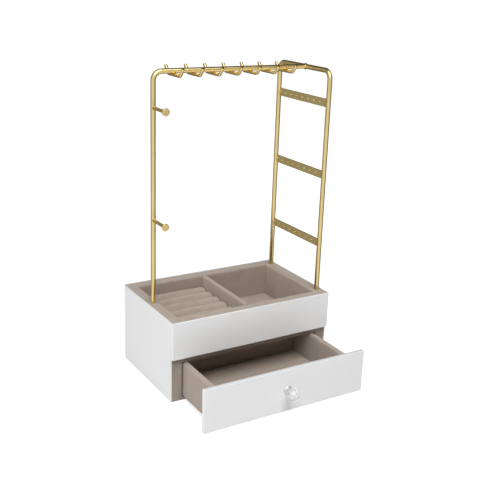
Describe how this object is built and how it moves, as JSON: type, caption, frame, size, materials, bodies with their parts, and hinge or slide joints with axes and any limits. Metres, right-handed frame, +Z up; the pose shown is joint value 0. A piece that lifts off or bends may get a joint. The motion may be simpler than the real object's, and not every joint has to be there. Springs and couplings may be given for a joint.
{
  "type": "jewellery box",
  "caption": "Jewellery box with a velvet tray, ring rolls, a sliding drawer with a faceted knob, and a brass wire frame with necklace hooks, pegs and pierced earring bars.",
  "frame": {"origin": "middle of the box's underside, on the surface that it stands on, without the open drawer", "axes": "+Z up, -Y out of the drawer's side, +X to the right as seen from the drawer's side"},
  "size_m": [0.22, 0.2345, 0.3822],
  "materials": {
    "white_gloss": "gloss white sheet",
    "velvet_board": "fibreboard wrapped in short taupe velvet",
    "velvet": "short taupe velvet",
    "brass_wire": "satin pale brass plate",
    "socket_steel": "plain steel",
    "chrome": "polished",
    "crystal": "clear, cut and polished"
  },
  "bodies": {
    "box": {"base_panel": "velvet_board", "left_side_board": "velvet_board", "right_side_board": "velvet_board", "back_board": "velvet_board", "tray_shelf": "velvet_board", "front_inner_board": "velvet_board", "upper_front_plate": "white_gloss", "outer_sheet": "white_gloss", "rim_strip_front": "velvet", "rim_strip_back": "velvet", "rim_strip_left": "velvet", "rim_strip_right": "velvet", "tray_divider": "velvet_board", "tray_pad": "velvet", "ring_roll_1": "velvet", "ring_roll_2": "velvet", "ring_roll_3": "velvet", "ring_roll_4": "velvet", "ring_roll_5": "velvet", "ring_roll_6": "velvet", "post_sockets": "socket_steel", "left_post_and_rail": "brass_wire", "right_frame": "brass_wire", "necklace_hook_1": "brass_wire", "necklace_hook_2": "brass_wire", "necklace_hook_3": "brass_wire", "necklace_hook_4": "brass_wire", "necklace_hook_5": "brass_wire", "necklace_hook_6": "brass_wire", "necklace_hook_7": "brass_wire", "earring_bar_1": "brass_wire", "earring_bar_2": "brass_wire", "earring_bar_3": "brass_wire", "peg_rod_upper": "brass_wire", "peg_rod_lower": "brass_wire", "peg_disc_upper": "brass_wire", "peg_disc_lower": "brass_wire"},
    "drawer": {"drawer_plate": "white_gloss", "drawer_inner_front": "velvet_board", "drawer_left_side": "velvet_board", "drawer_right_side": "velvet_board", "drawer_back_wall": "velvet_board", "drawer_bottom_board": "velvet_board", "drawer_pad": "velvet", "knob_collar": "chrome", "knob_crystal": "crystal", "knob_screw": "socket_steel"}
  },
  "joints": [
    {"name": "drawer_slide", "type": "slide", "parent": "box", "child": "drawer", "axis": [0, -1, 0], "range_m": [-0.0768, 0.02]}
  ]
}
